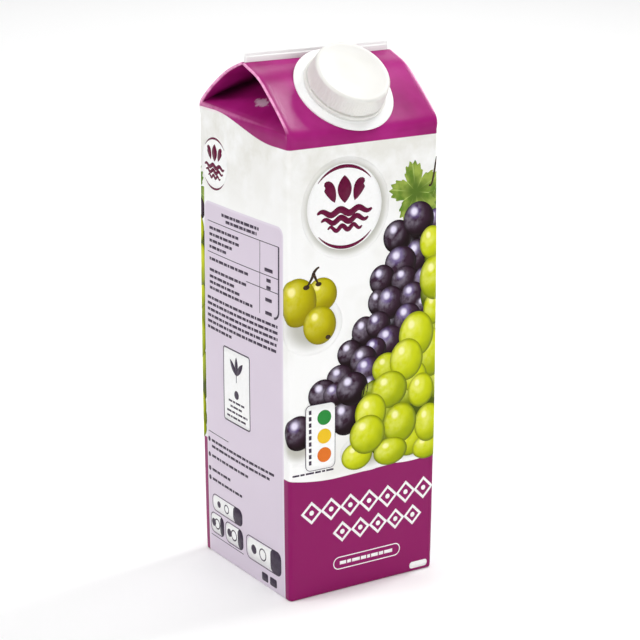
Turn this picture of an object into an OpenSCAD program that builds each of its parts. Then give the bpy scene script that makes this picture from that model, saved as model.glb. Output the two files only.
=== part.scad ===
// One-litre gable-top juice carton of coated board, full and shut.
// Millimetres. Z is up, X runs along the front panel, and the front faces -Y.
// The origin is the middle of the base, on the surface the carton stands on.

/* [Body] */
// Width across the front panel
body_w = 71; // [60:0.5:90]
// Depth from the front panel to the back panel
body_d = 71; // [60:0.5:90]
// Height of the shoulder fold, where the front wall turns into the roof
shoulder_h = 193.6; // [120:0.2:260]
// Radius of the upright folds, in plan
corner_r = 1.6; // [0.8:0.1:4]
// How far the middle of a full wall stands out past its corners
wall_bulge = 1.1; // [0.2:0.1:3]
// How far the upright folds themselves bow out at mid height
corner_bow = 0.5; // [0:0.1:1.5]

/* [Board] */
// Thickness of one ply of coated board
board_t = 0.5; // [0.3:0.05:0.7]

/* [Roof] */
// Slope of the front roof panel, which carries the spout
front_slope = 41; // [34:0.5:44]
// Distance of the front panel's soft upper bend from the middle of the ridge
front_knee_in = 12; // [9:0.5:14]
// Height of the ridge, at the foot of the top fin, above the front panel's upper bend
ridge_rise = 4.57; // [3.5:0.01:6]
// How much higher the back panel folds than the front one
back_lift = 2.4; // [0:0.2:4]
// Slope of the back roof panel
back_slope = 35; // [28:0.5:38]
// Distance of the back panel's upper bend from the middle of the ridge
back_knee_in = 10; // [8:0.5:13]
// Length of board on each side of a shoulder fold that the soft bend takes
fold_reach = 3; // [1:0.25:5]
// Length of board on each side of an upper bend that the soft bend takes
knee_reach = 5; // [2:0.25:7]

/* [Gussets] */
// Distance between the tips of the two folded-in gussets, at the ridge
tip_gap = 3; // [2:0.5:12]

/* [Fin] */
// Height of the top fin above the ridge
fin_h = 3.6; // [3:0.1:14]
// Height of the gusset plies caught in the lower part of the fin
fin_step_h = 2.2; // [1.5:0.1:2.8]
// How far each end of the fin is set in from the roof's edge
fin_end_in = 1.6; // [0:0.1:3]

/* [Base] */
// Width of the flat rim that the carton stands on
base_rim = 3; // [2:0.25:8]
// How far the folded bottom lies above the rim
base_recess = 1.2; // [0.6:0.1:3]
// Width of the overlap of the two bottom flaps
seam_w = 14; // [8:0.5:24]

/* [Spout] */
// Distance of the spout's axis from the front wall, measured along the slope
spout_up = 21; // [20:0.1:24]
// Diameter of the collar that lies on the roof
collar_d = 42.8; // [38:0.2:46]
// Thickness of the collar
collar_t = 0.9; // [0.6:0.1:2]

/* [Cap] */
// Diameter of the tamper ring at the foot of the cap
ring_d = 34.8; // [34:0.2:37]
// Height of the tamper ring
ring_h = 2; // [1.5:0.1:4]
// Width and depth of the groove between the ring and the cap
groove = 0.6; // [0.3:0.1:1]
// Diameter of the cap's grip, just above the groove
cap_d = 33.4; // [31:0.2:34.8]
// Diameter of the cap's grip at the top
cap_top_d = 31.8; // [28:0.2:33]
// Height of the whole cap, with its tamper ring
cap_h = 10.4; // [8:0.2:16]
// Radius of the cap's top edge
cap_edge_r = 1.2; // [0.5:0.1:2]

/* [Hidden] */

wall_rings = 14;          // levels up the walls
edge_steps = 6;           // parts along each wall, in plan
corner_steps = 3;         // parts round each upright fold
bend_steps = 4;           // parts along each soft bend
ridge_half = 2 * board_t; // half the fin's foot: two plies on each side
flap_t = 2 * board_t;     // roof panel with the gusset ply under it
past = 5;                 // how far a cutter runs past what it cuts
cap_fn = 96;

// Height of the ridge: the front panel climbs to its upper bend, then on to the fin
ridge_h = shoulder_h + (body_d / 2 - front_knee_in) * tan(front_slope) + ridge_rise;

function unit(v) = v / norm(v);

// Points that round the corner p1 of the path p0-p1-p2, from reach before it to reach after it
function bend(p0, p1, p2, reach) =
    let (a = p1 + reach * unit(p0 - p1), b = p1 + reach * unit(p2 - p1))
    [for (i = [0:bend_steps])
        let (t = i / bend_steps)
        (1 - t) * (1 - t) * a + 2 * t * (1 - t) * p1 + t * t * b];

// Side view of one roof panel: [distance from the ridge's plane, height], from the wall up.
// It rises at slope from its foot to the knee, then bends flatter to the ridge.
function roof_path(foot_z, slope, knee_in) =
    let (foot = [body_d / 2, foot_z],
         below = [body_d / 2, foot_z - 2 * fold_reach],
         knee = [knee_in, foot_z + (body_d / 2 - knee_in) * tan(slope)],
         ridge = [ridge_half, ridge_h])
    concat(bend(below, foot, knee, fold_reach), bend(foot, knee, ridge, knee_reach), [ridge]);

front_path = roof_path(shoulder_h, front_slope, front_knee_in);
back_path = roof_path(shoulder_h + back_lift, back_slope, back_knee_in);
top = len(front_path) - 1;

// A path moved to the inner side of board of thickness t
function inner(path, t) =
    [for (i = [0:top])
        let (run = unit(path[min(i + 1, top)] - path[max(i - 1, 0)]))
        path[i] + t * [-run[1], run[0]]];

// Quarter round of a ring, in plan
function corner(cx, cy, r, start) =
    [for (i = [0:corner_steps])
        let (a = start + 90 * i / corner_steps)
        [cx + r * cos(a), cy + r * sin(a)]];

// The points between two corners, pushed out along out by a full wall's bulge
function edge(p, q, out, bulge) =
    [for (i = [1:edge_steps - 1])
        let (t = i / edge_steps)
        (1 - t) * p + t * q + bulge * sin(180 * t) * out];

// One level of the carton, seen from above: front and back are each [distance, height],
// and the height runs evenly from one to the other.
function ring(half_w, front, back, bulge) =
    let (r = min(corner_r, (front[0] + back[0]) / 4),
         x = half_w - r,
         yf = -front[0] + r,
         yb = back[0] - r,
         fl = corner(-x, yf, r, 180),
         fr = corner(x, yf, r, 270),
         br = corner(x, yb, r, 0),
         bl = corner(-x, yb, r, 90),
         n = corner_steps,
         plan = concat(fl, edge(fl[n], fr[0], [0, -1], bulge),
                       fr, edge(fr[n], br[0], [1, 0], bulge),
                       br, edge(br[n], bl[0], [0, 1], bulge),
                       bl, edge(bl[n], fl[0], [-1, 0], bulge)))
    [for (p = plan)
        let (t = (p[1] + front[0]) / (front[0] + back[0]))
        [p[0], p[1], (1 - t) * front[1] + t * back[1]]];

// The mean of a ring's points
function middle(ring) = [for (p = ring) 1] * ring / len(ring);

// A level of the walls, at a share s of their height
function wall_ring(s) =
    let (swell = sin(180 * pow(s, 0.85)), bow = corner_bow * swell)
    ring(body_w / 2 + bow,
         [body_d / 2 + bow, s * front_path[0][1]],
         [body_d / 2 + bow, s * back_path[0][1]],
         wall_bulge * swell);

rings = concat([for (i = [0:wall_rings]) wall_ring(i / wall_rings)],
               [for (i = [1:top]) ring(body_w / 2, front_path[i], back_path[i], 0)]);

// A closed skin through rings of equally many points, with a fan of faces at each end
module skin(rings) {
    n = len(rings[0]);
    last = (len(rings) - 1) * n;
    low_mid = last + n;
    high_mid = low_mid + 1;
    polyhedron(
        points = concat([for (r = rings) each r],
                        [middle(rings[0]), middle(rings[len(rings) - 1])]),
        faces = [for (i = [0:n - 1])
            let (j = (i + 1) % n)
            each concat(
                [[low_mid, i, j]],
                [for (k = [0:n:last - 1])
                    each [[k + i, k + n + j, k + j], [k + i, k + n + i, k + n + j]]],
                [[high_mid, last + j, last + i]])]);
}

// The space left where one end of the roof folds in, under both roof panels
module gusset_pocket() {
    front_in = inner(front_path, flap_t);
    back_in = inner(back_path, flap_t);
    half_w = body_w / 2;
    side_view = concat([for (p = front_in) [-p[0], p[1]]],
                       [for (i = [top:-1:0]) [back_in[i][0], back_in[i][1]]]);
    intersection() {
        rotate([90, 0, 90])
            linear_extrude(2 * (half_w + past), center = true)
                polygon(side_view);
        rotate([90, 0, 0])
            linear_extrude(2 * body_d, center = true)
                polygon([[-half_w - past, shoulder_h], [-half_w, shoulder_h],
                         [-tip_gap / 2, ridge_h], [-tip_gap / 2, ridge_h + past],
                         [-half_w - past, ridge_h + past]]);
    }
}

// A block along the ridge, centred on it
module fin_plies(plies, height) {
    t = plies * board_t;
    translate([-body_w / 2 + fin_end_in, -t / 2, ridge_h - board_t])
        cube([body_w - 2 * fin_end_in, t, height + board_t]);
}

// The hollow under the folded bottom, with the overlap of its two flaps standing down in it
module base_fold() {
    in_w = body_w - 2 * base_rim;
    in_d = body_d - 2 * base_rim;
    difference() {
        translate([-in_w / 2, -in_d / 2, -past])
            cube([in_w, in_d, past + base_recess]);
        translate([-in_w, -seam_w / 2, base_recess - board_t])
            cube([2 * in_w, seam_w, 2 * board_t]);
    }
}

// Puts what stands on the X-Y plane onto the front roof panel, at the spout's axis
module on_front_roof() {
    translate([0, -body_d / 2, shoulder_h])
        rotate([front_slope, 0, 0])
            translate([0, spout_up, 0])
                children();
}

// The board carton and the juice that fills it: walls, roof, gussets, fin and folded base
module carton() {
    color("mediumvioletred")
        difference() {
            union() {
                skin(rings);
                fin_plies(4, fin_step_h);
                fin_plies(2, fin_h);
            }
            gusset_pocket();
            mirror([1, 0, 0]) gusset_pocket();
            base_fold();
        }
}

// The spout's flat plastic collar, with its upper edge rounded off
module collar() {
    r = collar_t / 2;
    color("white")
        on_front_roof()
            rotate_extrude($fn = cap_fn)
                polygon(concat([[0, 0], [collar_d / 2, 0], [collar_d / 2, collar_t - r]],
                               [for (a = [30:30:90])
                                   [collar_d / 2 - r + r * cos(a), collar_t - r + r * sin(a)]],
                               [[0, collar_t]]));
}

// The screw cap: a tamper ring, a groove, and a tapered grip with a rounded top edge
module cap() {
    grip_z = ring_h + groove;
    e = cap_edge_r;
    color("white")
        on_front_roof()
            translate([0, 0, collar_t])
                rotate_extrude($fn = cap_fn)
                    polygon(concat([[0, 0], [ring_d / 2, 0], [ring_d / 2, ring_h],
                                    [cap_d / 2 - groove, ring_h], [cap_d / 2 - groove, grip_z],
                                    [cap_d / 2, grip_z]],
                                   [for (a = [0:22.5:90])
                                       [cap_top_d / 2 - e + e * cos(a), cap_h - e + e * sin(a)]],
                                   [[0, cap_h]]));
}

carton();
collar();
cap();
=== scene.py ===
import math

import bmesh
import bpy
from mathutils import Matrix, Vector


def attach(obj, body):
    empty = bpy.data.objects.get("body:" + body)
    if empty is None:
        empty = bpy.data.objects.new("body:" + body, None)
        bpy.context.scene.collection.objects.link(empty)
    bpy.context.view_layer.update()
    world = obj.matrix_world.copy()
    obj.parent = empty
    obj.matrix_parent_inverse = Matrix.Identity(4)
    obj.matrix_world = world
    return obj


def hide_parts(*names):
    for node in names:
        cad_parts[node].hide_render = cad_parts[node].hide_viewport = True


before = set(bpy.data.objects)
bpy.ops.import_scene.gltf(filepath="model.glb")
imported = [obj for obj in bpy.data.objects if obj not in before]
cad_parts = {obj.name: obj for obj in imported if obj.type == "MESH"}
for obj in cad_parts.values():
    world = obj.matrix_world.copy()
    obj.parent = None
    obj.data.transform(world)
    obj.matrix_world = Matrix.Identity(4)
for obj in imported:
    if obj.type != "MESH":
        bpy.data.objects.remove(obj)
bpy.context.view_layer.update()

# --------------------------------------------------
# Studio: a pale floor under a soft sky, with a soft light high on each side, one low on the left,
# a fill at the front and one for the floor behind. A long lens looks down at the pack a little.

MM = 0.001


def paint(red, green, blue):
    """A colour given in 0-255 display values, as the linear RGBA that a socket takes."""
    def linear(c):
        c /= 255
        return c / 12.92 if c <= 0.04045 else ((c + 0.055) / 1.055) ** 2.4
    return (linear(red), linear(green), linear(blue), 1.0)


def set_inputs(node, values):
    for name, value in values.items():
        node.inputs[name].default_value = value


def new_material(name, colour=None, roughness=0.5, coat=0.0, gloss=0.15):
    """A material of one Principled shader, and its node tree and shader."""
    material = bpy.data.materials.new(name)
    material.use_nodes = True
    tree = material.node_tree
    shader = tree.nodes["Principled BSDF"]
    set_inputs(shader, {"Roughness": roughness, "Specular IOR Level": gloss,
                        "Coat Weight": coat, "Coat Roughness": 0.25})
    if colour:
        set_inputs(shader, {"Base Color": colour})
    return material, tree, shader


def add_object(name, data):
    thing = bpy.data.objects.new(name, data)
    bpy.context.collection.objects.link(thing)
    return thing


def aim(thing, place, target):
    thing.location = place
    thing.rotation_euler = (Vector(target) - Vector(place)).to_track_quat("-Z", "Y").to_euler()


def soft_light(name, place, target, size, watts):
    light = bpy.data.lights.new(name, "AREA")
    light.shape = "DISK"
    light.size = size
    light.energy = watts
    aim(add_object(name, light), place, target)


scene = bpy.context.scene
scene.view_settings.view_transform = "Standard"
scene.world = bpy.data.worlds.new("studio")
scene.world.use_nodes = True
background = scene.world.node_tree.nodes["Background"]
set_inputs(background, {"Color": (1.0, 1.0, 1.0, 1.0), "Strength": 0.33})

soft_light("key", (-0.75, 0.2, 1.15), (0, 0, 0.15), 0.35, 4.0)
soft_light("sheen", (0.90, 0.06, 1.12), (0, 0, 0.15), 0.36, 8.0)
soft_light("backdrop", (0.95, 1.50, 1.50), (0.95, 1.50, 0), 1.2, 9.0)
soft_light("left", (-1.6, -0.9, 0.9), (0, 0, 0.12), 1.2, 4.4)
soft_light("front", (0.3, -1.8, 0.7), (0, 0, 0.1), 1.4, 7.6)
sun = bpy.data.lights.new("sky", "SUN")
sun.energy = 0.9
sun.angle = math.radians(60)
aim(add_object("sky", sun), (-0.1, -0.15, 1.0), (0, 0, 0))

camera_data = bpy.data.cameras.new("camera")
camera_data.lens = 111.97
camera_data.sensor_width = 36
camera = add_object("camera", camera_data)
camera.location = (-0.4289, -0.6822, 0.3365)
camera.rotation_euler = (math.radians(74.11), 0, math.radians(-32.24))
scene.camera = camera

floor_bm = bmesh.new()
bmesh.ops.create_grid(floor_bm, x_segments=1, y_segments=1, size=6)
floor_mesh = bpy.data.meshes.new("floor")
floor_bm.to_mesh(floor_mesh)
floor_bm.free()
floor_mesh.materials.append(new_material("pale floor", paint(252, 252, 252), 0.9)[0])
add_object("floor", floor_mesh)

# --------------------------------------------------
# Carton: one blank of coated board, creased and glued into a square tube. Its top is folded
# into two sloping roof panels and two gussets that tuck in under them, and the four plies are
# sealed together as the fin. Its bottom is folded flat inside a rim. All sizes are in mm.

HALF = 35.5              # half the width and half the depth, at the folds
CORNER = 1.6             # radius of the upright folds
BULGE = 1.1              # how far the juice pushes the middle of a wall out
BOW = 0.5                # how far it pushes the upright folds out
PLY = 0.5                # thickness of the board
SHOULDER = 193.6         # height of the front shoulder fold
BACK_LIFT = 2.4          # how much higher the back shoulder fold lies
FRONT_SLOPE = 41         # degrees, up to the panel's upper bend
FRONT_KNEE = 12          # distance of that bend from the ridge
BACK_SLOPE = 35
BACK_KNEE = 10
FOLD_REACH = 3           # length of board on each side of a shoulder fold that bends
KNEE_REACH = 5           # and on each side of an upper bend
FRONT_SWELL = 1.5        # how far the free edges of the front panel stand out
BACK_SWELL = 2.6
RIDGE = 218.6            # height of the fin's foot
FIN = 3.6                # height of the fin
FIN_STEP = 2.2           # height of the gusset plies inside the fin
FIN_END = 1.6            # how far the fin's ends are set in
TIP = 1.5                # half the distance between the gussets' tips, at the ridge
RIM = 3                  # width of the rim that the carton stands on
RECESS = 1.2             # height of the folded bottom above the rim

FLAT = HALF - CORNER                          # half the flat part of a wall, in plan
SIDE = 2 * FLAT + math.pi / 2 * CORNER        # from one wall's middle to the next, round a fold

WALL_COLUMNS = 16        # columns of faces from a wall's middle to its fold
FOLD_COLUMNS = 6         # round the fold
TUCK_COLUMNS = 5         # and from there to a gusset's crease
FOLD_END = WALL_COLUMNS + FOLD_COLUMNS
TUCK_END = FOLD_END + TUCK_COLUMNS
QUARTER = TUCK_END + WALL_COLUMNS
WALL_ROWS = 48
PINCH_ROWS = 9           # rows of the roof in which its upright folds close on the gussets


def mix(a, b, t):
    return a + (b - a) * t


def clamp(t):
    return max(0.0, min(1.0, t))


def ease(t):
    t = clamp(t)
    return t * t * (3 - 2 * t)


def shares(steps):
    return [i / steps for i in range(steps + 1)]


def bend(before, corner, after, reach):
    """The points that round a corner of a path, from reach before it to reach after it."""
    a = corner + reach * (before - corner).normalized()
    b = corner + reach * (after - corner).normalized()
    return [a.lerp(corner, t).lerp(corner.lerp(b, t), t) for t in shares(6)]


def roof_path(foot_height, slope, knee_in):
    """Side view of one roof panel, from the wall to the ridge: distance from the ridge, height."""
    foot = Vector((HALF, foot_height))
    knee = Vector((knee_in, foot_height + (HALF - knee_in) * math.tan(math.radians(slope))))
    ridge = Vector((2 * PLY, RIDGE))
    low = bend(foot - Vector((0, 2 * FOLD_REACH)), foot, knee, FOLD_REACH)
    high = bend(foot, knee, ridge, KNEE_REACH)
    middle = [low[-1].lerp(high[0], t) for t in shares(12)[1:-1]]
    end = [high[-1].lerp(ridge, t) for t in shares(3)[1:]]
    return low + middle + high + end


front_path = roof_path(SHOULDER, FRONT_SLOPE, FRONT_KNEE)
back_path = roof_path(SHOULDER + BACK_LIFT, BACK_SLOPE, BACK_KNEE)
ROOF_ROWS = len(front_path) - 1


def wall_top(y):
    """Height of the walls, which rises from the front to the back."""
    return mix(front_path[0].y, back_path[0].y, clamp((y + HALF) / (2 * HALF)))


def wall_point(along, share, lift=0.0, inset=0.0):
    """A point on the walls. along is measured round the pack from the middle of the front to
    the right, share is the share of the walls' height, and lift is the distance off the board."""
    wall = round(along / SIDE)
    a = along - wall * SIDE
    swell = math.sin(math.pi * clamp(share) ** 0.85)
    half = HALF - inset + BOW * swell
    corner = max(0.3, CORNER - inset)
    if abs(a) <= FLAT:
        x = a / FLAT * (half - corner)
        y = half + BULGE * swell * math.cos(math.pi / 2 * a / FLAT) + lift
    else:
        turn = (abs(a) - FLAT) / CORNER
        x = math.copysign(half - corner + (corner + lift) * math.sin(turn), a)
        y = half - corner + (corner + lift) * math.cos(turn)
    spot = Matrix.Rotation(wall * math.pi / 2, 2) @ Vector((x, -y))
    return Vector((spot.x, spot.y, share * wall_top(spot.y)))


def on_wall(along, height, lift=0.0):
    """The point of the walls at a height above the floor."""
    return wall_point(along, height / wall_top(wall_point(along, 0.5).y), lift)


def roof_frame(path, row):
    """A point of a roof path, and the direction into the board there."""
    run = (path[min(row + 1, ROOF_ROWS)] - path[max(row - 1, 0)]).normalized()
    return path[row], Vector((-abs(run.y), -abs(run.x)) if row else (-1, 0))


def roof_swell(path, row, across):
    """How far a roof panel stands out from its own plane, most near its free edges."""
    swell = math.sin(math.pi * (row / ROOF_ROWS) ** 0.8)
    if path is front_path:
        return FRONT_SWELL * swell * abs(across) ** 3
    return BACK_SWELL * swell * (0.35 + 0.65 * across * across)


def roof_spot(path, row, x, depth):
    """A point under a roof panel at x, as x, distance from the ridge's plane, and height."""
    spot, inward = roof_frame(path, row)
    spot = spot + inward * (depth - roof_swell(path, row, x / HALF))
    return Vector((x, spot.x, spot.y))


def crease_x(path, row, depth):
    """Where a gusset's tuck, under the roof panel, meets its end triangle."""
    spot, inward = roof_frame(path, row)
    foot = SHOULDER + (BACK_LIFT if path is back_path else 0)
    risen = (spot.y + inward.y * depth - foot) / (RIDGE - depth - foot)
    return mix(HALF, TIP, clamp(risen))


def stretches(column):
    """How far a column of a quarter is over its first wall, round the fold, along the tuck and
    over the next wall, each as a share."""
    return (clamp(column / WALL_COLUMNS), clamp((column - WALL_COLUMNS) / FOLD_COLUMNS),
            clamp((column - FOLD_END) / TUCK_COLUMNS), clamp((column - TUCK_END) / WALL_COLUMNS))


def roof_quarter(path, row, column):
    """A point of the roof in one quarter of the plan, as x, distance from the ridge, height."""
    over, turned_in, tucked, _ = stretches(column)
    pinch = ease(row / PINCH_ROWS)
    radius = mix(CORNER, PLY, pinch)
    turn = mix(math.pi / 2, math.pi, pinch) * turned_in
    x = mix(FLAT, HALF - PLY, pinch) * over + radius * math.sin(turn)
    depth = radius * (1 - math.cos(turn))
    if tucked:
        x = mix(x, min(x, crease_x(path, row, depth)), tucked)
    return roof_spot(path, row, x, depth)


def fin_quarter(level, column):
    """A point of the fin in one quarter of the plan. level is outer face, inner face, height."""
    outer, inner, height = level
    over, turned_in, tucked, _ = stretches(column)
    radius = (outer - inner) / 2
    edge = HALF - FIN_END - radius
    if tucked:
        return Vector((mix(edge, TIP, tucked), inner, height))
    turn = math.pi * turned_in
    return Vector((edge * over + radius * math.sin(turn), outer - radius * (1 - math.cos(turn)), height))


# Levels of the one skin, from the folded bottom up to the top of the fin
BASE_LEVELS = [(RIM + 0.4, RECESS), (RIM + 0.1, RECESS - 0.15), (RIM, 0.1), (RIM - 0.1, 0.0),
               (0.9, 0.0), (0.5, 0.06), (0.22, 0.22), (0.06, 0.5)]
WALL_LEVELS = [0.006, 0.012] + shares(WALL_ROWS)[1:-1]
FIN_LEVELS = [(1.0, 0.03, RIDGE + 0.25), (1.0, 0.03, RIDGE + FIN_STEP - 0.25),
              (0.93, 0.03, RIDGE + FIN_STEP), (0.57, 0.03, RIDGE + FIN_STEP + 0.3),
              (0.5, 0.03, RIDGE + FIN_STEP + 0.6), (0.5, 0.03, RIDGE + FIN - 0.25),
              (0.36, 0.05, RIDGE + FIN)]
LEVELS = ([("base", v) for v in BASE_LEVELS] + [("wall", v) for v in WALL_LEVELS]
          + [("roof", v) for v in range(ROOF_ROWS + 1)] + [("fin", v) for v in FIN_LEVELS])


def skin_point(column, row):
    """A point of the skin. The columns start at the middle of the front and run to the left."""
    kind, value = LEVELS[row]
    quarter, column = divmod(column % (4 * QUARTER), QUARTER)
    if quarter % 2:
        column = QUARTER - column
    sx = (-1, -1, 1, 1)[quarter]
    sy = (-1, 1, 1, -1)[quarter]
    over, turned_in, _, onward = stretches(column)
    along = min(SIDE, FLAT * (over + onward) + math.pi / 2 * CORNER * turned_in)
    if kind == "base":
        inset, height = value
        spot = wall_point(along, 0.0, 0.0, inset)
        return Vector((sx * abs(spot.x), sy * abs(spot.y), height))
    if kind == "wall":
        spot = wall_point(along, value)
        y = sy * abs(spot.y)
        return Vector((sx * abs(spot.x), y, value * wall_top(y)))
    if kind == "fin":
        near = far = fin_quarter(value, column)
    else:
        near, far = [roof_quarter(path, value, column) for path in (front_path, back_path)]
        if sy > 0:
            near, far = far, near
    share = onward / 2
    y = sy * mix(near.y, -far.y, share)
    return Vector((sx * mix(near.x, far.x, share), y, mix(near.z, far.z, share)))


def warped_grid(bm, columns, rows, place):
    """A grid of columns by rows faces whose vertices go where place(column, row) says.
    It returns each vertex's column and row."""
    made = bmesh.ops.create_grid(bm, x_segments=columns, y_segments=rows, size=1)["verts"]
    spots = {v: (round((v.co.x + 1) / 2 * columns), round((v.co.y + 1) / 2 * rows)) for v in made}
    for v, spot in spots.items():
        v.co = place(*spot)
    return spots


def to_object(name, bm, material, smooth_angle=35):
    """A piece from a bmesh in mm, with smooth faces and sharp folds."""
    bmesh.ops.scale(bm, vec=(MM, MM, MM), verts=bm.verts)
    mesh = bpy.data.meshes.new(name)
    bm.to_mesh(mesh)
    bm.free()
    mesh.shade_smooth()
    mesh.set_sharp_from_angle(angle=math.radians(smooth_angle))
    mesh.materials.append(material)
    return add_object(name, mesh)


def gusset_depth(column, row):
    """How near a point is to a gusset's crease: 1 at the crease, 0 outside the gusset and in
    its lowest rows."""
    kind, value = LEVELS[row]
    if kind != "roof":
        return 0.0
    around = column % (2 * QUARTER)
    _, _, tucked, onward = stretches(min(around, 2 * QUARTER - around))
    return tucked * (1 - onward) * ease((value - 4) / 5)


skin = bmesh.new()
deep = skin.verts.layers.float.new("deep")
for v, spot in warped_grid(skin, 4 * QUARTER, len(LEVELS) - 1, skin_point).items():
    v[deep] = gusset_depth(*spot)
bmesh.ops.remove_doubles(skin, verts=skin.verts, dist=0.004)
bmesh.ops.dissolve_degenerate(skin, dist=0.002, edges=skin.edges)
rims = [e for e in skin.edges if e.is_boundary]
bmesh.ops.holes_fill(skin, edges=rims, sides=0)
bmesh.ops.recalc_face_normals(skin, faces=skin.faces)
bmesh.ops.triangulate(skin, faces=[f for f in skin.faces if len(f.verts) > 4])


class Nodes:
    """A new material and short ways to add shader nodes to it. x, y and z are in mm."""

    def __init__(self, name, roughness, coat=0.0, gloss=0.15):
        self.material, self.tree, self.shader = new_material(name, None, roughness, coat, gloss)
        self.links = self.tree.links
        self.object = self.node("TexCoord").outputs["Object"]
        self.x, self.y, self.z = [self.times(v, 1 / MM) for v in self.split(self.object)]

    def node(self, kind):
        return self.tree.nodes.new("ShaderNode" + kind)

    def split(self, vector):
        parts = self.node("SeparateXYZ")
        self.links.new(vector, parts.inputs[0])
        return parts.outputs[:]

    def shape_place(self):
        """Across and up on one printed shape, each from -1 to 1."""
        shape = self.node("UVMap")
        shape.uv_map = "shape"
        return self.split(shape.outputs[0])[:2]

    def attribute(self, name):
        step = self.node("Attribute")
        step.attribute_name = name
        return step.outputs["Fac"]

    def put(self, socket, value):
        if isinstance(value, bpy.types.NodeSocket):
            self.links.new(value, socket)
        else:
            socket.default_value = value

    def math(self, operation, a, b=0.0, c=0.0):
        step = self.node("Math")
        step.operation = operation
        for socket, value in zip(step.inputs, (a, b, c)):
            self.put(socket, value)
        return step.outputs[0]

    def plus(self, a, b):
        return self.math("ADD", a, b)

    def minus(self, a, b):
        return self.math("SUBTRACT", a, b)

    def times(self, a, b):
        return self.math("MULTIPLY", a, b)

    def length(self, a, b):
        return self.math("SQRT", self.plus(self.times(a, a), self.times(b, b)))

    def span(self, value, low, high, out_low=0.0, out_high=1.0, smooth=False):
        """value from low to high, as out_low to out_high, and no further."""
        step = self.node("MapRange")
        step.interpolation_type = "SMOOTHSTEP" if smooth else "LINEAR"
        for socket, v in zip(step.inputs, (value, low, high, out_low, out_high)):
            self.put(socket, v)
        return step.outputs[0]

    def edge(self, distance, softness=0.08):
        """1 where distance is below zero, 0 above, with a fine soft edge."""
        return self.span(distance, -softness, softness, 1.0, 0.0)

    def blend(self, share, a, b):
        step = self.node("Mix")
        step.data_type = "RGBA"
        self.put(step.inputs["Factor"], share)
        self.put(step.inputs[6], a)
        self.put(step.inputs[7], b)
        return step.outputs[2]

    def noise(self, scale, detail=2.0, rough=0.5):
        """Noise on Object coordinates. scale is in waves a metre."""
        step = self.node("TexNoise")
        self.links.new(self.object, step.inputs["Vector"])
        set_inputs(step, {"Scale": scale, "Detail": detail, "Roughness": rough})
        return step.outputs["Fac"]

    def bump(self, height, distance, strength=1.0, under=None):
        step = self.node("Bump")
        set_inputs(step, {"Strength": strength, "Distance": distance})
        self.put(step.inputs["Height"], height)
        if under:
            self.links.new(under, step.inputs["Normal"])
        return step.outputs[0]

    def fibres(self, under=None):
        """The fine fibres of the board, which show through its film and through ink."""
        return self.bump(self.noise(1400, 3, 0.6), 0.00002, 0.3, under)

    def finish(self, colour, normal=None):
        """Gives the material its worked-out colour and bumps."""
        self.put(self.shader.inputs["Base Color"], colour)
        if normal:
            self.put(self.shader.inputs["Normal"], normal)


WHITE = paint(250, 250, 249)
WARM_GREY = paint(233, 232, 226)
MAGENTA = paint(140, 10, 94)
ROOF_MAGENTA = paint(174, 34, 128)
FOLD_PINK = paint(250, 172, 216)
LILAC = paint(219, 207, 222)
LILAC_RIM = paint(232, 225, 236)
RAW_BOARD = paint(226, 214, 190)
DEEP_SHADE = paint(30, 2, 12)
PALE_SPOT_GREY = paint(206, 180, 196)
PANEL = (31.8, 157.5, 4)      # half the width, the top and the corner radius of the lilac panels
BAND_DIP = (-15.0, 50.6)      # where the magenta band's edge lies lowest, and its height there
TOP_EDGE = (188.8, 196.3)     # height of the magenta top's edge at the front and at the back
PALE_SPOT = (26.4, 0.5, 1.9)       # how far left and forward the pale spot lies, and its half width
SEAM_Y = 31.3                 # place of the blank's glued edge on the right wall


def cloudy_white(n):
    """The white ground of the print, with faint warm clouds, and painted shade: greyer clouds near the
    top of the walls, under the roof.
    """
    clouds = n.span(n.noise(34, 3), 0.5, 0.66, 0, 0.6)
    high = n.span(n.z, 148, 186, 0, 1, smooth=True)
    # Painted shade: the white ground greys in clouds towards the top of the walls, under the roof
    shade_under_roof = n.times(n.span(n.noise(60, 4, 0.6), 0.36, 0.6), high)
    return n.blend(n.math("MAXIMUM", clouds, shade_under_roof), WHITE, WARM_GREY)


n = Nodes("printed coated board", 0.3, 0.06)
depth, width = n.math("ABSOLUTE", n.y), n.math("ABSOLUTE", n.x)
sideways = n.edge(n.minus(depth, width), 0.01)

colour = cloudy_white(n)

# Lilac panel on each side wall, with rounded top corners and a paler rim
panel_x = n.minus(depth, PANEL[0] - PANEL[2])
panel_z = n.minus(n.z, PANEL[1] - PANEL[2])
corner = n.length(n.math("MAXIMUM", panel_x, 0.0), n.math("MAXIMUM", panel_z, 0.0))
inner = n.math("MINIMUM", n.math("MAXIMUM", panel_x, panel_z), 0.0)
panel = n.minus(n.plus(corner, inner), PANEL[2])
lilac = n.blend(n.span(panel, -1.3, -0.5, 0.0, 0.7), LILAC, LILAC_RIM)
colour = n.blend(n.times(n.edge(panel), sideways), colour, lilac)

# Magenta band round the foot of the front and back art, with a gently waved upper edge
facing = n.times(n.x, n.math("SIGN", n.times(n.y, -1.0)))
from_dip = n.minus(facing, BAND_DIP[0])
left_rise = n.times(n.math("POWER", n.math("MINIMUM", from_dip, 0.0), 2.0), 0.0055)
right_rise = n.times(n.math("MAXIMUM", from_dip, 0.0), 0.035)
band_top = n.plus(n.plus(left_rise, right_rise), BAND_DIP[1])
off_panels = n.edge(n.minus(PANEL[0], depth))
band = n.times(n.edge(n.minus(n.z, band_top)), off_panels)
colour = n.blend(band, colour, MAGENTA)

# Magenta top: low along the front, and rising to the back in one smooth wave
top_edge = n.span(n.y, -24, 24, *TOP_EDGE, smooth=True)
roof_ink = n.blend(n.span(n.noise(26, 4, 0.6), 0.35, 0.7), MAGENTA, ROOF_MAGENTA)
colour = n.blend(n.edge(n.minus(n.z, top_edge)), roof_ink, colour)
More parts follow.
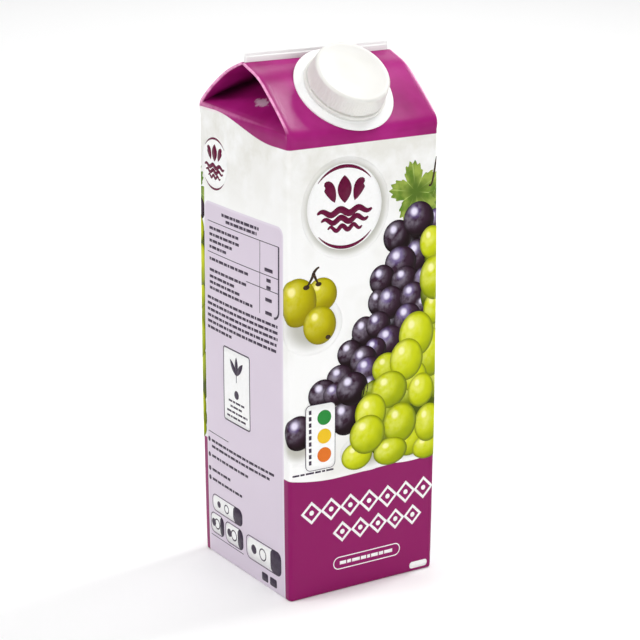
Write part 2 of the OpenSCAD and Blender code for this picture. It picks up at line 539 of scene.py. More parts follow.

# The ink is worn pale where the roof's free edges fold back, and a painted highlight lies along these
# folds
worn_and_highlit = n.times(n.span(width, 34.45, 35.1), n.span(n.z, 195, 199))
worn_and_highlit = n.times(worn_and_highlit, n.span(n.noise(420, 3), 0.3, 0.6, 0.55, 1.0))
colour = n.blend(worn_and_highlit, colour, FOLD_PINK)

# The crease deep in each gusset is painted in shade, and a pale greyish spot lies on the left gusset
in_shade = n.span(n.attribute("deep"), 0.45, 0.95, 0.0, 0.88, smooth=True)
colour = n.blend(in_shade, colour, DEEP_SHADE)
# A pale greyish spot with a ragged edge, below the gusset's tip
pale_x = n.plus(n.x, PALE_SPOT[0])
pale_y = n.times(n.plus(n.y, PALE_SPOT[1]), 0.45)
pale_spot = n.plus(n.length(pale_x, pale_y), n.span(n.noise(500, 2), 0.3, 0.7, -0.7, 0.7))
on_pale_spot = n.edge(n.minus(pale_spot, PALE_SPOT[2]), 0.4)
below_tips = n.edge(n.minus(n.z, 205))
on_pale_spot = n.times(n.times(on_pale_spot, below_tips), 0.75)
colour = n.blend(on_pale_spot, colour, PALE_SPOT_GREY)

# The blank's glued edge: a cut line that runs up the right wall, beside the back fold
right_wall = n.edge(n.minus(33.5, n.x))
from_cut = n.minus(n.y, SEAM_Y)
cut = n.edge(n.minus(n.math("ABSOLUTE", from_cut), 0.2), 0.06)
colour = n.blend(n.times(cut, right_wall), colour, RAW_BOARD)
lapped = n.times(n.edge(from_cut, 0.15), right_wall)

# The fin is left bare white, and the underside is plain board
colour = n.blend(n.edge(n.minus(RIDGE + 0.05, n.z)), colour, WHITE)
colour = n.blend(n.edge(n.minus(n.z, 0.05), 0.04), colour, RAW_BOARD)

# The lapped edge's step, the slow waves of a full pack, and the fibres under the film
waves = n.bump(n.noise(38, 2), 0.0012, 0.35, n.bump(lapped, 0.0003, 0.7))
n.finish(colour, n.fibres(waves))

carton = to_object("carton_board", skin, n.material)
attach(carton, "root")
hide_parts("carton")

# --------------------------------------------------
# Badge and tag grounds: the white ink that the other print lies on. Each colour is printed
# after the last, as a film thinner than a hair. It's drawn flat first, as across and height on
# a wall, and then laid round the walls and their folds.

FIRST_FILM = 0.006       # rise of the lowest film over the board
INK = 0.008              # rise of one film over the one under it
FILM = 0.26              # thickness given to a film, so that it reaches into the board
ART_REACH = 38.8         # how far the front and back art runs from the middle, round the folds
FOLD_CUTS = 6            # parts that a film takes round a fold
LONG_BAR = 20            # a bar longer than this is cut into parts that follow the bulged wall
MAIN_WALLS = (0, -2 * SIDE)      # middles of the front and the back, measured round the pack
SIDE_WALLS = (-SIDE, SIDE)       # and of the left and right walls


class Print:
    """One colour of print. Every shape carries its own UV, from -1 to 1, and a tone."""

    def __init__(self):
        self.bm = bmesh.new()
        self.uv = self.bm.loops.layers.uv.new("shape")
        self.tone = self.bm.faces.layers.float.new("tone")

    def patch(self, columns, rows, flat, layer=1, tone=0.0):
        """A shape of columns by rows faces. flat(u, v) gives across, height and the UV there."""
        uvs = {}

        def place(column, row):
            across, height, *uv = flat(column / columns, row / rows)
            uvs[(column, row)] = uv or (0, 0)
            return Vector((across, height, layer))

        spots = warped_grid(self.bm, columns, rows, place)
        for face in {f for v in spots for f in v.link_faces}:
            face[self.tone] = tone
            for loop in face.loops:
                loop[self.uv].uv = uvs[spots[loop.vert]]
        bmesh.ops.remove_doubles(self.bm, verts=list(spots), dist=0.0005)

    def disc(self, x, z, rx, rz=None, layer=1, tone=0.0, cells=8):
        rz = rz or rx

        def flat(u, v):
            u, v = 2 * u - 1, 2 * v - 1
            a, b = u * math.sqrt(1 - v * v / 2), v * math.sqrt(1 - u * u / 2)
            return x + rx * a, z + rz * b, a, b
        self.patch(cells, cells, flat, layer, tone)

    def bar(self, x0, x1, z0, z1, radius=0.0, layer=1):
        """A filled rectangle, its corners rounded by radius."""
        parts = 4 if x1 - x0 < LONG_BAR else 24
        middle = [mix(x0 + radius, x1 - radius, t) for t in shares(parts)]
        turns = [radius * (1 - math.cos(math.radians(a))) for a in (0, 25, 50, 70)] if radius else []
        xs = [x0 + t for t in turns] + middle + [x1 - t for t in reversed(turns)]

        def flat(u, v):
            x = xs[round(u * (len(xs) - 1))]
            inside = max(0.0, radius - min(x - x0, x1 - x))
            half = (z1 - z0) / 2 - radius + math.sqrt(max(0.0, radius ** 2 - inside ** 2))
            return x, (z0 + z1) / 2 + half * (2 * v - 1), 2 * u - 1, 2 * v - 1
        self.patch(len(xs) - 1, max(1, round((z1 - z0) / 4)), flat, layer)

    def stroke(self, points, width, layer=1, closed=False):
        """A line of a width through points. width may be a function of the share of its length."""
        points = [Vector(p) for p in points]
        count = len(points)
        steps = count if closed else count - 1
        wide = width if callable(width) else (lambda t: width)

        def flat(u, v):
            i = round(u * steps)
            here = points[i % count]
            before = points[(i - 1) % count] if closed or i else here
            after = points[(i + 1) % count] if closed or i < count - 1 else here
            run = (after - before).normalized()
            spot = here + Vector((-run.y, run.x)) * wide(i / steps) * (v - 0.5)
            return spot.x, spot.y, 2 * u - 1, 2 * v - 1
        self.patch(steps, 1, flat, layer)

    def words(self, x0, x1, z, height, seed=0, layer=1):
        """A row of small plain dashes, of uneven length, in the place of a line of small print."""
        x = x0
        while x < x1 - 0.8:
            seed += 1
            end = min(x1, x + 1.2 + 3.1 * (seed * 0.618 % 1))
            self.bar(x, end, z - height / 2, z + height / 2, layer=layer)
            x = end + 0.5

    def drawn(self):
        return self.bm.verts[:] + self.bm.edges[:] + self.bm.faces[:]

    def cut(self, across, trim):
        """Cuts the print along an upright line on each side. trim takes away what lies outside."""
        for side in (-1, 1):
            bmesh.ops.bisect_plane(self.bm, geom=self.drawn(), dist=0.0001, clear_outer=trim,
                                   plane_co=(side * across, 0, 0), plane_no=(side, 0, 0))

    def lay(self, name, material, walls):
        """Trims the flat print to its panel, lays it on each of the walls, and makes the piece."""
        self.cut(ART_REACH, trim=True)
        for t in shares(FOLD_CUTS):
            self.cut(mix(FLAT, SIDE - FLAT, t), trim=False)
        bmesh.ops.dissolve_degenerate(self.bm, dist=0.0002, edges=self.bm.edges[:])
        self.bm.normal_update()
        bmesh.ops.reverse_faces(self.bm, faces=[f for f in self.bm.faces if f.normal.z < 0])
        flat_verts, flat_print = self.bm.verts[:], self.drawn()
        for wall in walls:
            for part in bmesh.ops.duplicate(self.bm, geom=flat_print)["geom"]:
                if isinstance(part, bmesh.types.BMVert):
                    across, height, layer = part.co
                    part.co = on_wall(wall + across, height, FIRST_FILM + INK * layer)
        bmesh.ops.delete(self.bm, geom=flat_verts, context="VERTS")
        piece = to_object(name, self.bm, material)
        film = piece.modifiers.new("film", "SOLIDIFY")
        film.thickness = FILM * MM
        film.offset = -1
        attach(piece, "root")


def arc(x, z, radius, start, end, steps):
    """Points on a circle from one angle to another, in degrees."""
    angles = [math.radians(mix(start, end, t)) for t in shares(steps)]
    return [(x + radius * math.cos(a), z + radius * math.sin(a)) for a in angles]


def straight(x0, z0, x1, z1, step=2):
    """Points on a line, step apart at most, so that it follows a bulged wall."""
    parts = max(1, math.ceil(math.hypot(x1 - x0, z1 - z0) / step))
    return [(mix(x0, x1, t), mix(z0, z1, t)) for t in shares(parts)]


def rounded(x0, x1, z0, z1, radius):
    """Points round a rectangle with rounded corners."""
    corners = []
    for x, z, start in ((x1, z1, 0), (x0, z1, 90), (x0, z0, 180), (x1, z0, 270)):
        cx = x - math.copysign(radius, x - (x0 + x1) / 2)
        cz = z - math.copysign(radius, z - (z0 + z1) / 2)
        corners.append(arc(cx, cz, radius, start, start + 90, 5))
    points = []
    for corner, after in zip(corners, corners[1:] + corners[:1]):
        points += corner + straight(*corner[-1], *after[0])[1:-1]
    return points


def flat_ink(name, colour, darker):
    """Printing ink of one colour, with the faint mottle that ink has on board."""
    n = Nodes(name, 0.38, 0.03, 0.1)
    n.finish(n.blend(n.span(n.noise(700, 3, 0.6), 0.35, 0.7), colour, darker), n.fibres())
    return n.material


BADGE = (-9.7, 164, 17)          # across, height and radius on the front
SMALL_BADGE = (-22.5, 174, 11)   # and on the left and right walls
TAG = (-28, -14.5, 56, 84)       # its left, right, foot and top on the front
TAG_LAYER = 21                   # the tag lies over the fruit

# A soft shadow that fades outwards into the white ground. A higher tone keeps it tighter.
n = Nodes("soft print shadow", 0.4, 0.05)
outward = n.math("POWER", n.length(*n.shape_place()), n.plus(n.attribute("tone"), 1.0))
n.finish(n.blend(n.span(outward, 0.3, 0.97, smooth=True), paint(190, 189, 180), cloudy_white(n)))

halo = Print()
halo.disc(BADGE[0] + 0.5, BADGE[1] - 0.6, BADGE[2] + 3.6, layer=0.5, tone=4, cells=16)
for i, (x, z, rx, rz) in enumerate(((-25.5, 117.5, 14.5, 12.5), (-31, 68, 9, 9), (24, 60, 24, 9),
                                    (-12, 80, 17, 11), (2, 60, 14, 9))):
    halo.disc(x, z, rx, rz, layer=0.4 * i, tone=0.4, cells=12)
halo.lay("print_shadows", n.material, MAIN_WALLS)

white_ink = flat_ink("white ink", paint(252, 252, 252), paint(247, 247, 246))
plain_white = Print()
plain_white.disc(*BADGE[:2], BADGE[2] + 0.4, cells=16)

# A band of open diamonds and dots stands in for each row of lettering on the magenta, and a
# thin bar in a pill for the line under them
for row_z, size, first_x, pitch, count in ((37.5, 4.3, -25.2, 9.2, 7), (26.4, 3.9, -10.5, 8.8, 5)):
    for x in [first_x + pitch * i for i in range(count)]:
        diamond = [(x - size, row_z), (x, row_z - size), (x + size, row_z), (x, row_z + size)]
        plain_white.stroke(diamond, 1.5, closed=True)
        plain_white.disc(x, row_z, 1.1, cells=4)
plain_white.stroke(rounded(-14.5, 18.5, 9.7, 15, 2.6), 0.45, closed=True)
plain_white.words(-11.5, 15.5, 12.35, 1.5)
plain_white.bar(24, 33, 1.4, 4.4, 1.2)
plain_white.bar(*TAG, 2.2, layer=TAG_LAYER)
plain_white.lay("white_print", white_ink, MAIN_WALLS)

side_white = Print()
side_white.disc(*SMALL_BADGE, cells=12)
side_white.bar(-15, 6.5, 66, 98, 1.2)
for x0, x1, z0, z1, radius in ((1.5, 28, 9, 18.4, 3.5), (-27.4, -2.5, 21, 27.6, 2.4),
                               (-29.5, -19, 10.4, 18.6, 2.4), (-16.5, -2.5, 10, 18.4, 2.4)):
    side_white.bar(x0, x1, z0, z1, radius)
side_white.lay("white_print_sides", white_ink, SIDE_WALLS)

# --------------------------------------------------
# Badge: two bowed maroon lines above and below, with a plain drop between two leaves and three
# waves in the middle. It's printed large on the front and back, and small on the side walls.

maroon_ink = flat_ink("maroon ink", paint(108, 14, 60), paint(94, 10, 50))


def swelling(middle, power=1.0, ends=0.0):
    """The width along a stroke that is ends at its ends and middle more than that halfway."""
    return lambda t: ends + middle * math.sin(math.pi * t) ** power


def badge(ink, x, z, radius):
    """The badge's maroon lines and its plain drop, leaves and waves."""
    s = radius / BADGE[2]
    for bow, start, end in ((16.2, 40, 140), (16.4, 222, 318)):
        ink.stroke(arc(x, z, bow * s, start, end, 30), swelling(1.2 * s, ends=0.25 * s), 2)
    ink.stroke([(x, z + s * (1.4 + 11.2 * t)) for t in shares(16)], swelling(6.6 * s, 0.8), 2)
    for side in (-1, 1):
        leaf = [(x + side * s * (4.6 + 5.0 * t), z + s * (2.0 + 7.4 * math.sin(1.8 * t)))
                for t in shares(12)]
        ink.stroke(leaf, swelling(5.0 * s, 0.7), 2)
    for k, (half, thick) in enumerate(((12.8, 2.9), (11.0, 2.5), (8.0, 2.0))):
        wave = [(x + half * s * (2 * t - 1), z + s * (-1.9 - 3.3 * k + 0.9 * math.sin(18.8 * t)))
                for t in shares(40)]
        ink.stroke(wave, swelling(0.75 * thick * s, 0.5, 0.25 * thick * s), 2)


for name, place, walls in (("badge_print", BADGE, MAIN_WALLS),
                           ("badge_print_sides", SMALL_BADGE, SIDE_WALLS)):
    badge_print = Print()
    badge(badge_print, *place)
    badge_print.lay(name, maroon_ink, walls)

# --------------------------------------------------
# Grapes: a dark bunch and a green bunch run down the right of the front and back art, and
# three green berries on a forked stem lie under the badge. Each berry is one printed round
# with its own light, bloom and shade.


def berry_ink(name, glow, light, body, dark, edge, bloom, spot):
    """Ink whose colours run over a berry from its lit side to its shaded one."""
    n = Nodes(name, 0.4, 0.03, 0.08)
    x, y = n.shape_place()

    def off(cx, cy):
        return n.length(n.minus(x, cx), n.minus(y, cy))

    tone = n.attribute("tone")
    shift = n.minus(n.noise(240, 2), 0.5)
    far = n.plus(off(-0.30, 0.42), n.times(shift, 0.35))
    far = n.plus(far, tone)
    colour = n.blend(n.span(far, 0.12, 0.5, smooth=True), light, body)
    colour = n.blend(n.span(far, 0.55, 1.35, smooth=True), colour, dark)
    haze = n.times(n.span(off(-0.42, 0.30), 0.95, 0.35, smooth=True), bloom)
    colour = n.blend(n.times(haze, n.span(n.noise(300, 2), 0.35, 0.7)), colour, glow)
    colour = n.blend(n.span(off(0.0, 0.0), 0.8, 1.0, 0.0, 0.5, smooth=True), colour, edge)
    colour = n.blend(n.span(far, 1.3, 2.2), colour, edge)
    unshaded = n.span(tone, 0.3, 0.5, 1.0, 0.0)
    gleam = n.times(n.span(off(-0.3, 0.46), spot, 0.1, smooth=True), unshaded)
    n.finish(n.blend(gleam, colour, glow), n.fibres())
    return n.material


dark_ink = berry_ink("dark grape ink", paint(236, 230, 250), paint(106, 86, 138), paint(56, 32, 50),
                     paint(24, 8, 12), paint(20, 6, 12), bloom=0.26, spot=0.32)
green_ink = berry_ink("green grape ink", paint(250, 248, 170), paint(224, 228, 60), paint(204, 212, 14),
                      paint(152, 166, 4), paint(74, 88, 8), bloom=0.3, spot=0.26)
olive_ink = berry_ink("olive grape ink", paint(253, 243, 160), paint(216, 208, 34), paint(194, 184, 2),
                      paint(154, 142, 0), paint(126, 118, 6), bloom=0.2, spot=0.26)


def stacked(berries, first):
    """Gives each berry the film above those it overlaps."""
    done = []
    for x, z, rx, rz in berries:
        under = [film for bx, bz, brx, brz, film in done
                 if math.hypot((x - bx) / (rx + brx), (z - bz) / (rz + brz)) < 1]
        done.append((x, z, rx, rz, max(under, default=first - 1) + 1))
    return done


# Across, height and the two radii of each berry, from the one lying deepest to the one on top
DARK_BERRIES = [(-31, 73, 7, 7.4), (-9.5, 76, 7, 7.5), (34.5, 153, 5, 5), (15.5, 148.5, 7, 7),
                (26, 154.5, 7.6, 7.4), (25.5, 139.5, 6.6, 6.8), (34, 140, 6, 6), (17, 137.5, 7.8, 7),
                (8, 131.5, 6.2, 6.4), (19, 130, 6.6, 6), (29.5, 128.5, 6.2, 6), (6, 122.5, 5, 5.6),
                (12, 121.5, 6.6, 7), (23, 122.5, 6.4, 6.2), (29, 117.5, 5.4, 5), (20.5, 113.5, 6.8, 6.6),
                (-0.5, 111, 6.2, 6.6), (6, 113, 6, 5.8), (11.5, 105.5, 6.8, 6.6), (-7.5, 103, 6, 5.8),
                (4.5, 103, 5.4, 5), (-1, 99, 6.4, 6.4), (-12, 93.5, 6.4, 5.6), (1, 94.5, 6.6, 6.2),
                (-20, 87.5, 6.8, 6.6), (3, 87, 5.8, 5.6), (-14.5, 87, 5.6, 5), (-6.5, 88, 7.6, 7.2)]
GREEN_BERRIES = [(34, 116, 5.5, 7), (33, 97, 6.5, 10.5), (32.5, 144, 6, 7), (34.5, 129, 8, 9.5),
                 (24, 88, 6.5, 6.5), (25, 106, 8.8, 9.8), (10, 94, 7, 6.6), (20, 96, 8.4, 9),
                 (22, 60, 7.4, 6.4), (31, 56, 7.4, 5.4), (27.5, 81.5, 6.6, 7.4), (11.5, 84.5, 9, 8),
                 (2.5, 76, 7.6, 8.4), (31.5, 66.5, 7, 8.4), (17, 69, 8.4, 8.8), (-4, 58.5, 7.4, 6),
                 (12.5, 57.5, 8.4, 6), (1, 67, 8.6, 8.4)]
TRIO = [(-20.5, 129.5, 7, 7), (-31.5, 127.5, 8.6, 10), (-21.5, 117, 7.5, 8)]

# Berries that only show, in shade, between the others
DARK_BEHIND = [(31, 146, 6), (21, 144, 6), (24, 134, 6), (12, 127, 6), (25, 128, 5), (17, 122, 5),
               (15, 114, 6), (6, 107, 5), (-3, 106, 5), (-5, 96, 6), (-14, 89, 5), (-3, 84, 6)]
GREEN_BEHIND = [(33.5, 107, 7, 8), (33, 122, 6, 8), (24, 73, 8, 9), (10.5, 76, 7, 8), (27, 90, 7, 8),
                (15, 88, 7, 7), (24, 62, 7, 7), (9, 63, 7, 7), (34, 76, 6, 9), (33, 61, 6, 6),
                (4, 84, 6, 6), (-3, 66, 4, 5), (36, 84, 5, 8), (34, 137, 5, 7), (17, 60, 7, 5),
                (20.5, 81, 5, 6)]

dark_bunch = Print()
for i, (x, z, r) in enumerate(DARK_BEHIND):
    dark_bunch.disc(x, z, r, r, 2.5 + 0.2 * i, tone=1.0)
for i, (x, z, rx, rz, film) in enumerate(stacked(DARK_BERRIES, 5)):
    dark_bunch.disc(x, z, rx, rz, film, tone=0.16 * math.sin(2.4 * i))
dark_bunch.lay("dark_grape_print", dark_ink, MAIN_WALLS)

green_bunch = Print()
for i, (x, z, rx, rz) in enumerate(GREEN_BEHIND):
    green_bunch.disc(x, z, rx, rz, 17 + 0.3 * i, tone=0.6 + 0.7 * (i % 3))
for i, (x, z, rx, rz, film) in enumerate(stacked(GREEN_BERRIES, 22)):
    green_bunch.disc(x, z, rx, rz, film, tone=0.18 * math.sin(2.4 * i) - 0.05)
green_bunch.lay("green_grape_print", green_ink, MAIN_WALLS)

trio = Print()
for x, z, rx, rz, film in stacked(TRIO, 2):
    trio.disc(x, z, rx, rz, film)
trio.lay("berry_trio_print", olive_ink, MAIN_WALLS)

# --------------------------------------------------
# Vine leaves and stems: two lobed leaves behind the top of the bunch, printed in a mottled
# green with paler veins, the brown stems of the bunches, and small marks where berries end.

n = Nodes("leaf ink", 0.38, 0.05)
round_leaf, out_leaf = n.shape_place()
vein = n.math("ABSOLUTE", n.math("SINE", n.times(round_leaf, 5 * math.pi)))
mottle = n.span(n.noise(190, 3), 0.35, 0.65, smooth=True)
colour = n.blend(mottle, paint(96, 130, 34), paint(156, 176, 74))
colour = n.blend(n.span(vein, 0.0, 0.22), paint(176, 196, 104), colour)
n.finish(n.blend(n.span(out_leaf, 0.4, -0.6), colour, paint(84, 112, 28)))


def leaf(ink, x, z, size, turn, layer):
    """A vine leaf: five lobes round its foot, with a toothed edge."""
    def flat(u, v):
        a = 2 * math.pi * u
        lobes = 0.52 + 0.48 * abs(math.cos(2.5 * a)) ** 0.8
        teeth = 1 + 0.07 * math.sin(31 * a)
        r = size * v * (lobes * teeth if v > 0.99 else lobes)
        a += math.radians(turn)
        return x + r * math.cos(a), z + r * math.sin(a), u * 2 - 1, v * 2 - 1
    ink.patch(120, 4, flat, layer)


leaves = Print()
leaf(leaves, 31, 160.5, 10.5, 60, 1.4)
leaf(leaves, 24.5, 166, 12.5, 170, 1.8)
leaves.lay("leaf_print", n.material, MAIN_WALLS)

stem_ink = flat_ink("stem ink", paint(70, 52, 36), paint(48, 34, 26))
FORK = (-24.2, 138.8)            # where the three berries' stems part
stems = Print()
for run, rise in ((-3.3, lambda t: -5.6 * t ** 0.7), (2.2, lambda t: -4.8 * t ** 0.8),
                  (2.6, lambda t: 2.0 * math.sin(1.6 * t))):
    twig = [(FORK[0] + run * t, FORK[1] + rise(t)) for t in shares(8)]
    stems.stroke(twig, lambda t: 1.3 - 0.6 * t, 6)
for x, z, rx, rz in ((-27.5, 133.3, 1.5, 1.0), (-22, 134, 1.4, 0.9), (-17.7, 111.6, 1.2, 0.9)):
    stems.disc(x, z, rx, rz, 6, cells=4)
stems.stroke([(31 + 4 * t, 168 + 9 * t - 2.5 * math.sin(4.5 * t)) for t in shares(10)], 0.9, 3)
stems.lay("stem_print", stem_ink, MAIN_WALLS)

# --------------------------------------------------
# Tag: a small white label printed over the fruit, with three plain dots beside an upright row
# of dashes, and a line of small print under it.

small_ink = flat_ink("small print ink", paint(74, 62, 80), paint(60, 50, 66))
for name, z, colour in (("green", 78, paint(46, 140, 62)), ("golden", 70, paint(240, 196, 40)),
                        ("orange", 62, paint(226, 118, 40))):
    dot = Print()
    dot.disc(-19.5, z, 3.2, layer=TAG_LAYER + 1)
    dot.lay("tag_dot_" + name, flat_ink(name + " ink", colour, colour), MAIN_WALLS)

small_front = Print()
small_front.stroke(rounded(*TAG, 2.2), 0.25, TAG_LAYER + 1, closed=True)
for i in range(9):
    small_front.bar(-26.6, -25.4, 58.5 + 2.7 * i, 60.3 + 2.7 * i, layer=TAG_LAYER + 1)
small_front.words(-34, -15, 54.9, 0.8)
small_front.lay("small_print_front", small_ink, MAIN_WALLS)

# --------------------------------------------------
# Side panels: a ruled table, rows of small print and a row of plain signs, all in one dark ink
# on the lilac. No row can be read: each is a line of dashes.

RULE = 0.35              # width of a fine line
side_print = Print()
side_print.words(-16.5, 13.5, 153.6, 1.3, 1)
side_print.words(-13, 12, 151.3, 1.3, 5)

# The fine lines: four of the table's, one over the bulleted rows and one under the signs
for x0, z0, x1, z1 in ((-28.5, 149.2, 28.5, 149.2), (14.5, 149.2, 14.5, 119.2), (-28.5, 136, 28.5, 136),
                       (4, 130, 28, 130), (-30, 56, -12, 56), (-30, 8.3, -2, 8.3)):
    side_print.stroke(straight(x0, z0, x1, z1), RULE)
side_print.stroke(straight(28.3, 149.2, 28.3, 122.7) + arc(24.9, 122.7, 3.4, 0, -90, 6)[1:], 1.0)
for i, (z, end) in enumerate(((146.4, -2.4), (143.7, -1.9), (141, -7.6), (138.3, -12), (133.2, 6),
                              (128.4, 4), (125.6, -4.8), (123.1, -1), (120.6, 9))):
    side_print.words(-27, end, z, 1.25, 3 * i)
for z, half in ((138.2, 3), (134, 1.6), (131, 1.6), (125.9, 2.4), (120.4, 2.4)):
    side_print.bar(21 - half, 21 + half, z - 0.75, z + 0.75, 0.3)
for i, end in enumerate((27.5, 27.5, 27.5, 27.5, 27.5, -8)):
    side_print.words(-29, end, 116.2 - 2.6 * i, 1.25, 7 * i)

# The label: its frame, a plain three-leaved sprig and a few dashes
SPRIG = (-4.2, 87.4)     # where its three leaves meet
side_print.stroke(rounded(-15, 6.5, 66, 98, 1.2), 0.6, 2, closed=True)
for turn in (50, 90, 130):
    a = math.radians(turn)
    tip = (SPRIG[0] + 8.2 * math.cos(a), SPRIG[1] + 8.2 * math.sin(a))
    side_print.stroke(straight(*SPRIG, *tip, step=0.7), swelling(2.6, 0.8), 2)
side_print.stroke(straight(*SPRIG, SPRIG[0], SPRIG[1] - 3), 0.5, 2)
side_print.disc(SPRIG[0], 79, 1.9, layer=2, cells=6)
for i, (start, end) in enumerate(((-11, 2.5), (-9.5, 1), (-12.5, 4.5), (-12.5, 3))):
    side_print.words(start, end, 75.4 - 2.3 * i, 0.9, i, layer=2)

# Bulleted rows
for i, (z, end) in enumerate(((52.3, 24.6), (49.6, 22), (45.3, 4), (39, -10.5), (34.7, -0.4))):
    side_print.words(-27.4, end, z, 1.2, 5 * i)
    if i != 1:
        side_print.disc(-29.6, z, 1.1, cells=4)

# Signs: four pills with a dark end, a dot and a round in each, and two small squares
for x0, x1, z0, z1 in ((-28, -2, 20.5, 28), (-30, -18.5, 9.9, 19), (-17, -2, 9.5, 18.8),
                       (0.9, 28.6, 8.5, 19)):
    middle, height = (z0 + z1) / 2, z1 - z0
    side_print.stroke(rounded(x0, x1, z0, z1, 2.8), 0.4, 2, closed=True)
    side_print.bar(mix(x0, x1, 0.7), x1, z0, z1, 2.6, layer=2.5)
    side_print.disc(mix(x0, x1, 0.22), middle, 0.2 * height, layer=2, cells=6)
    rim = arc(mix(x0, x1, 0.48), middle, 0.24 * height, 0, 345, 23)
    side_print.stroke(rim, 0.6, 2, closed=True)
side_print.bar(13, 18, 2.2, 6, 0.8)
side_print.bar(19.5, 25, 2.2, 6, 0.8)
side_print.lay("small_print_sides", small_ink, SIDE_WALLS)

# --------------------------------------------------
# Folded bottom: two flaps of the same board lie inside the rim, the outer one lapped over the
# inner one, with the creases of the tucked-in ends pressed into it. Glued shut.

BOTTOM_GAP = 0.35        # between a flap and the rim
LAP_EDGE = 7             # how far past the middle the outer flap reaches
UNDERLAP = 0.5           # how far inside that edge the inner flap starts
flap_half = HALF - RIM - BOTTOM_GAP


def block(bm, size, middle):
    """Adds a block and returns its vertices."""
    verts = bmesh.ops.create_cube(bm, size=1)["verts"]
    bmesh.ops.scale(bm, vec=size, verts=verts)
    bmesh.ops.translate(bm, vec=middle, verts=verts)
    return verts


flaps = bmesh.new()
for start, end, face in ((-flap_half, LAP_EDGE, RECESS - PLY),
                         (LAP_EDGE - UNDERLAP, flap_half, RECESS - 0.1)):
    block(flaps, (2 * flap_half, end - start, PLY), (0, (start + end) / 2, face + PLY / 2))
bmesh.ops.bevel(flaps, geom=flaps.edges[:], offset=0.12, offset_type="OFFSET", affect="EDGES",
                segments=2, profile=0.5, material=-1)

n = Nodes("bare board", 0.6)
fibre = n.blend(n.span(n.noise(900, 4, 0.7), 0.3, 0.7), paint(232, 222, 200), paint(214, 200, 172))
off_crease = n.math("ABSOLUTE", n.minus(n.math("ABSOLUTE", n.x), n.math("ABSOLUTE", n.y)))
uncreased = n.span(off_crease, 0.2, 0.7, smooth=True)
pressed = n.bump(uncreased, 0.0004, 0.8)
colour = n.blend(uncreased, paint(196, 180, 150), fibre)
n.finish(colour, n.bump(n.noise(1500, 3, 0.7), 0.00005, 0.6, pressed))
bottom = to_object("bottom_flaps", flaps, n.material)
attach(bottom, "root")

# --------------------------------------------------
# Spout collar: a flat moulded disc welded on the front roof panel. Only its flange shows round
# the cap; its outer edge is rounded and a low step rings the foot of the spout.

SPOUT_UP = 21            # from the front shoulder to the spout's axis, up the slope
COLLAR_R = 21.4
COLLAR_T = 0.9           # thickness of the flange
COLLAR_FOOT_R = 0.3      # radius of its outer edge, where it meets the board
COLLAR_EDGE_R = 0.55     # and at its top
STEP_R = 18.1
STEP_H = 0.25
STEP_EDGE_R = 0.15

ON_ROOF = (Matrix.Translation((0, -HALF, SHOULDER)) @ Matrix.Rotation(math.radians(FRONT_SLOPE), 4, "X")
           @ Matrix.Translation((0, SPOUT_UP, 0)))


def turned(outline, steps):
    """A closed round piece from its outline, which starts and ends on the axis."""
    bm = bmesh.new()
    points = [bm.verts.new((r, 0, z)) for r, z in outline]
    edges = [bm.edges.new(pair) for pair in zip(points, points[1:])]
    bmesh.ops.spin(bm, geom=points + edges, cent=(0, 0, 0), axis=(0, 0, 1), angle=2 * math.pi,
                   steps=steps, use_merge=True)
    bmesh.ops.remove_doubles(bm, verts=bm.verts, dist=0.0005)
    bmesh.ops.recalc_face_normals(bm, faces=bm.faces)
    return bm


def outer_edge(radius, height, edge, start, end, steps):
    """A round edge of a turned piece that reaches out to radius, and up or down to height."""
    return arc(radius - edge, height - math.copysign(edge, start + end), edge, start, end, steps)


collar_outline = ([(0, 0)] + outer_edge(COLLAR_R, 0, COLLAR_FOOT_R, -90, 0, 3)
                  + outer_edge(COLLAR_R, COLLAR_T, COLLAR_EDGE_R, 0, 90, 5)
                  + [(STEP_R + 0.3, COLLAR_T)]
                  + outer_edge(STEP_R, COLLAR_T + STEP_H, STEP_EDGE_R, 0, 90, 3)
                  + [(0, COLLAR_T + STEP_H)])
collar_bm = turned(collar_outline, 144)
bmesh.ops.transform(collar_bm, matrix=ON_ROOF, verts=collar_bm.verts)


def white_plastic(name, colour, dull):
    """Moulded polyethylene, faintly uneven, which lets a little light in."""
    n = Nodes(name, 0.34, 0.1)
    mottle = n.span(n.noise(60, 2), 0.3, 0.7)
    n.finish(n.blend(mottle, colour, dull), n.bump(n.noise(2600, 2), 0.00002, 0.5))
    n.put(n.shader.inputs["Roughness"], n.span(n.noise(300, 3), 0.3, 0.7, 0.3, 0.42))
    set_inputs(n.shader, {"Subsurface Weight": 0.15, "Subsurface Scale": 0.002,
                          "Subsurface Radius": (1.0, 0.9, 0.8)})
    return n.material


collar_plastic = white_plastic("collar plastic", paint(248, 248, 247), paint(243, 243, 241))
collar = to_object("spout_collar", collar_bm, collar_plastic)
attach(collar, "root")
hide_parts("collar")

# --------------------------------------------------
# Screw cap: a moulded cap with fine grip ribs, a slightly sunk top and a tamper ring at its
# foot, which thin bridges hold until the cap is first turned.

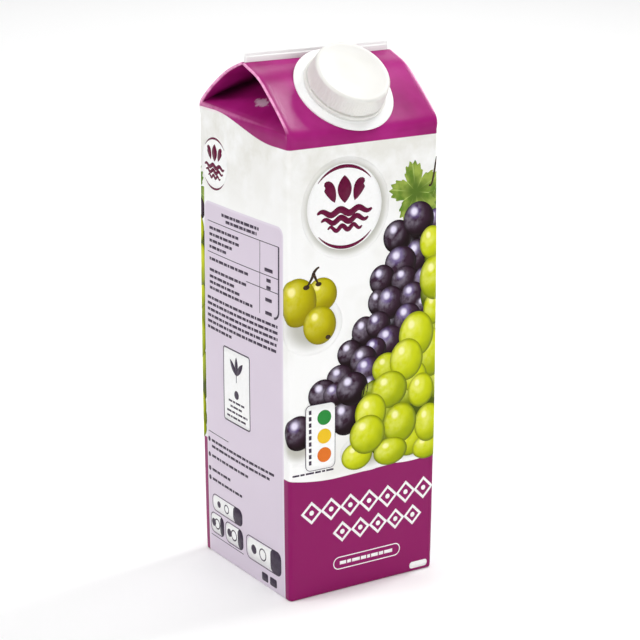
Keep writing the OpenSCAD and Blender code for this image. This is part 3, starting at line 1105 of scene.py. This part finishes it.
RING_R = 17.4            # outer radius of the tamper ring
RING_H = 2.0
RING_EDGE_R = 0.25
GROOVE = 0.6             # width and depth of the groove between the ring and the cap
CAP_R = 16.7             # outer radius of the cap's foot
CAP_TOP_R = 15.9
CAP_H = 10.4             # from the collar's face to the cap's top
EDGE_R = 1.2             # radius of the cap's top edge
TOP_RIM = 2.1            # width of the flat rim round the sunk top
SUNK = 0.15
RIBS = 90
RIB_DEPTH = 0.16
BRIDGES = 10

foot = COLLAR_T
top = foot + CAP_H
grip_low, grip_high = foot + RING_H + GROOVE, top - EDGE_R
grip = [(mix(CAP_R, CAP_TOP_R, t), mix(grip_low, grip_high, t)) for t in shares(10)]
cap_outline = ([(0, foot + 0.3)] + outer_edge(RING_R, foot + 0.3, RING_EDGE_R, -90, 0, 3)
               + outer_edge(RING_R, foot + RING_H, RING_EDGE_R, 0, 90, 3)
               + [(CAP_R - GROOVE, foot + RING_H), (CAP_R - GROOVE, grip_low)] + grip
               + outer_edge(CAP_TOP_R, top, EDGE_R, 0, 90, 7)[1:]
               + [(CAP_TOP_R - TOP_RIM, top), (CAP_TOP_R - TOP_RIM - 0.4, top - 0.8 * SUNK),
                  (6, top - SUNK), (0, top - SUNK)])
cap_bm = turned(cap_outline, 4 * RIBS)
for v in cap_bm.verts:
    radius = math.hypot(v.co.x, v.co.y)
    if grip_low + 0.2 < v.co.z < grip_high + 0.3 and radius > CAP_TOP_R - 0.4:
        fade = min(1, (grip_high + 0.3 - v.co.z) / 0.8, (v.co.z - grip_low - 0.2) / 0.5)
        wave = math.cos(RIBS * math.atan2(v.co.y, v.co.x))
        push = 1 + RIB_DEPTH * fade * (wave - 1) / 2 / radius
        v.co.x *= push
        v.co.y *= push
for i in range(BRIDGES):
    bridge = block(cap_bm, (0.9, 1.1, GROOVE + 0.2), (CAP_R - 0.5, 0, foot + RING_H + GROOVE / 2))
    around = Matrix.Rotation(2 * math.pi * i / BRIDGES, 3, "Z")
    bmesh.ops.rotate(cap_bm, cent=(0, 0, 0), matrix=around, verts=bridge)
bmesh.ops.transform(cap_bm, matrix=ON_ROOF, verts=cap_bm.verts)
# The cap gets a greyer copy of the collar's white plastic, as painted shade on its side
shaded_cap_plastic = white_plastic("shaded cap plastic", paint(232, 231, 227), paint(226, 225, 220))
cap = to_object("screw_cap", cap_bm, shaded_cap_plastic, 40)
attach(cap, "root")
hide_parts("cap")
